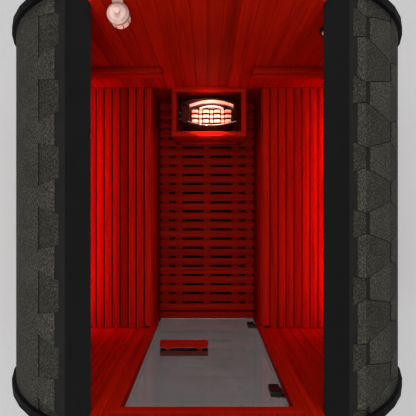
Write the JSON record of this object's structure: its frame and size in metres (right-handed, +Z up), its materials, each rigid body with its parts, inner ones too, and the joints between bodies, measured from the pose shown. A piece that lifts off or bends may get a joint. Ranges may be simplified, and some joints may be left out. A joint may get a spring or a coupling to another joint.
{
  "type": "barrel sauna",
  "caption": "Round timber barrel sauna on two cradles, open along its ridge, with slatted benches, a wall heater behind a guard and a hinged glass door.",
  "frame": {"origin": "on the ground, midway between the two cradles and under the middle of the barrel", "axes": "+Z up, +Y along the barrel from the glass door to the heater wall, +X across it"},
  "size_m": [2.2434, 1.9, 2.2403],
  "materials": {
    "stave_timber": "red stain, sawn and planed staves",
    "wall_timber": "red stain, planed boards",
    "frame_timber": "red stain, planed",
    "bench_timber": "red stain, planed slats",
    "floor_timber": "red stain, planed slats",
    "cradle_timber": "brown stain, sawn",
    "door_glass": "clear toughened glass, grey tint",
    "black_metal": "black, satin",
    "heater_steel": "brushed",
    "heater_dark": "dark, matt",
    "opal_glass": "white opal glass, gloss",
    "lamp_enamel": "white enamel",
    "gauge_case": "black, satin",
    "light_strip": "red glowing diffuser",
    "shingle": "dark grey mineral granules on bitumen",
    "black_trim": "black, satin",
    "band_steel": "galvanised steel band"
  },
  "bodies": {
    "sauna": {"back_rest_left": "bench_timber", "back_rest_right": "bench_timber", "back_wall": "wall_timber", "bench_skirt_left": "bench_timber", "bench_skirt_right": "bench_timber", "bench_top_left": "bench_timber", "bench_top_right": "bench_timber", "cradle_back": "cradle_timber", "cradle_front": "cradle_timber", "door_frame_head": "frame_timber", "door_frame_left": "frame_timber", "door_frame_right": "frame_timber", "door_frame_sill": "frame_timber", "door_hinge_lower": "black_metal", "door_hinge_upper": "black_metal", "duckboard": "floor_timber", "edge_cap_left": "black_trim", "edge_cap_right": "black_trim", "end_trim_back_left": "black_trim", "end_trim_back_right": "black_trim", "end_trim_front_left": "black_trim", "end_trim_front_right": "black_trim", "floor_bearer_1": "floor_timber", "floor_bearer_2": "floor_timber", "floor_bearer_3": "floor_timber", "front_wall_head": "wall_timber", "front_wall_left": "wall_timber", "front_wall_right": "wall_timber", "front_wall_sill": "wall_timber", "guard_front": "frame_timber", "guard_side_left": "frame_timber", "guard_side_right": "frame_timber", "guard_top_frame": "frame_timber", "heater_case": "heater_steel", "heater_controls": "black_metal", "heater_hood": "heater_steel", "heater_stone_tray": "heater_dark", "light_strip_left": "light_strip", "light_strip_right": "light_strip", "roof_cover_left": "shingle", "roof_cover_right": "shingle", "shell_left_bottom": "stave_timber", "shell_left_lower": "stave_timber", "shell_left_side": "stave_timber", "shell_left_upper": "stave_timber", "shell_right_bottom": "stave_timber", "shell_right_lower": "stave_timber", "shell_right_side": "stave_timber", "shell_right_upper": "stave_timber", "steel_band_back": "band_steel", "steel_band_front": "band_steel", "thermometer": "gauge_case", "wall_lamp_body": "lamp_enamel", "wall_lamp_glass": "opal_glass"},
    "door": {"door_clamp_lower": "black_metal", "door_clamp_upper": "black_metal", "door_glass": "door_glass", "door_handle_inside": "frame_timber", "door_handle_outside": "frame_timber"}
  },
  "joints": [
    {"name": "door_hinge", "type": "hinge", "parent": "sauna", "child": "door", "pos_m": [0.3805, -0.914, 1.15434], "axis": [0, 0, 1], "range_deg": [0, 110]}
  ]
}
